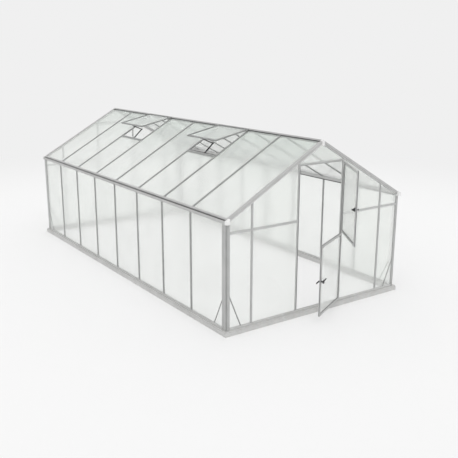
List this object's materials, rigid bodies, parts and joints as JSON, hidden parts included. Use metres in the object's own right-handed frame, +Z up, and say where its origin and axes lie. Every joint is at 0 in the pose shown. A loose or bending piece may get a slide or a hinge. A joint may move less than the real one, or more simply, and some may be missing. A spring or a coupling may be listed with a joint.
{
  "type": "greenhouse",
  "caption": "Freestanding greenhouse with an aluminium frame, hollow polycarbonate sheets, a split door that stands open and raised roof vents.",
  "frame": {"origin": "on the ground, below the outer face of the front gable, midway between the side walls", "axes": "+X to the right seen from the front, +Y from the front gable to the back gable along the ridge, +Z up"},
  "size_m": [3.06, 6.7744, 2.3214],
  "materials": {
    "frame_metal": "mill finish, satin",
    "pale_metal": "mill finish, satin",
    "hollow_sheet": "translucent, fluted",
    "white_plastic": "matte",
    "black_plastic": "matte"
  },
  "bodies": {
    "house": {"base_front": "pale_metal", "base_back": "pale_metal", "base_left": "pale_metal", "base_right": "pale_metal", "side_sills": "frame_metal", "end_sills": "frame_metal", "corner_posts_front": "frame_metal", "corner_posts_back": "frame_metal", "gutter_left": "pale_metal", "gutter_right": "pale_metal", "gutter_caps": "white_plastic", "ridge_beam": "frame_metal", "ridge_cover": "pale_metal", "ridge_caps": "white_plastic", "rafters_front": "pale_metal", "rafters_back": "pale_metal", "wall_bars_left": "frame_metal", "wall_bars_right": "frame_metal", "roof_bars_left": "frame_metal", "roof_bars_right": "frame_metal", "gable_bars_front": "frame_metal", "gable_bars_back": "frame_metal", "door_jambs": "frame_metal", "gable_rails_front": "frame_metal", "gable_rails_back": "frame_metal", "wall_sheets_left": "hollow_sheet", "wall_sheets_right": "hollow_sheet", "roof_sheets_left": "hollow_sheet", "roof_sheets_right": "hollow_sheet", "gable_sheets_front": "hollow_sheet", "gable_sheets_back": "hollow_sheet", "vent_sills": "frame_metal", "vent_sashes": "frame_metal", "vent_sheets": "hollow_sheet", "vent_stays": "black_plastic", "corner_braces": "frame_metal", "jamb_hinges": "frame_metal"},
    "lower_leaf": {"lower_leaf_frame": "frame_metal", "lower_leaf_sheet": "hollow_sheet", "lower_leaf_hinges": "frame_metal", "lower_handles": "black_plastic"},
    "upper_leaf": {"upper_leaf_frame": "frame_metal", "upper_leaf_sheet": "hollow_sheet", "upper_leaf_hinges": "frame_metal", "upper_latch": "black_plastic"}
  },
  "joints": [
    {"name": "lower_leaf_hinge", "type": "hinge", "parent": "house", "child": "lower_leaf", "pos_m": [0.381, -0.018, 0], "axis": [0, 0, 1], "range_deg": [-26.7, 133.3]},
    {"name": "upper_leaf_hinge", "type": "hinge", "parent": "house", "child": "upper_leaf", "pos_m": [0.381, -0.018, 0], "axis": [0, 0, 1], "range_deg": [-58, 102]}
  ]
}
